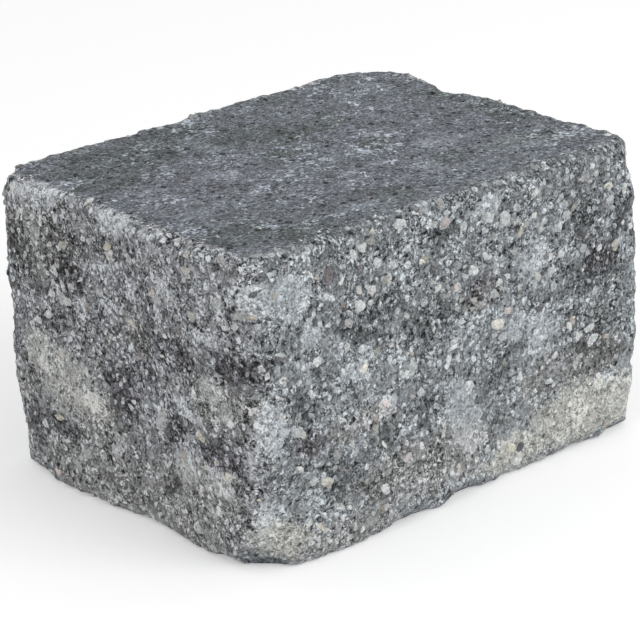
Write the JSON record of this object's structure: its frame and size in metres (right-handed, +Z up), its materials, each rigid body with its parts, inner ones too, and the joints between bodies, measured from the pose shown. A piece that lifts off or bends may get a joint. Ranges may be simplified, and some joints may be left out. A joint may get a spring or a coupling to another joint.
{
  "type": "garden wall block",
  "caption": "Tumbled concrete garden wall block, a solid cuboid with flat beds, gently uneven sides and rounded, chipped arrises.",
  "frame": {"origin": "middle of the bottom bed, on the level floor that the block stands on", "axes": "+X along the long face, +Y through the depth, away from the near long face, +Z up"},
  "size_m": [0.2447, 0.194, 0.15],
  "materials": {
    "concrete": "dry, worn face with exposed aggregate"
  },
  "bodies": {
    "root": {"wall_block": "concrete"}
  },
  "joints": []
}
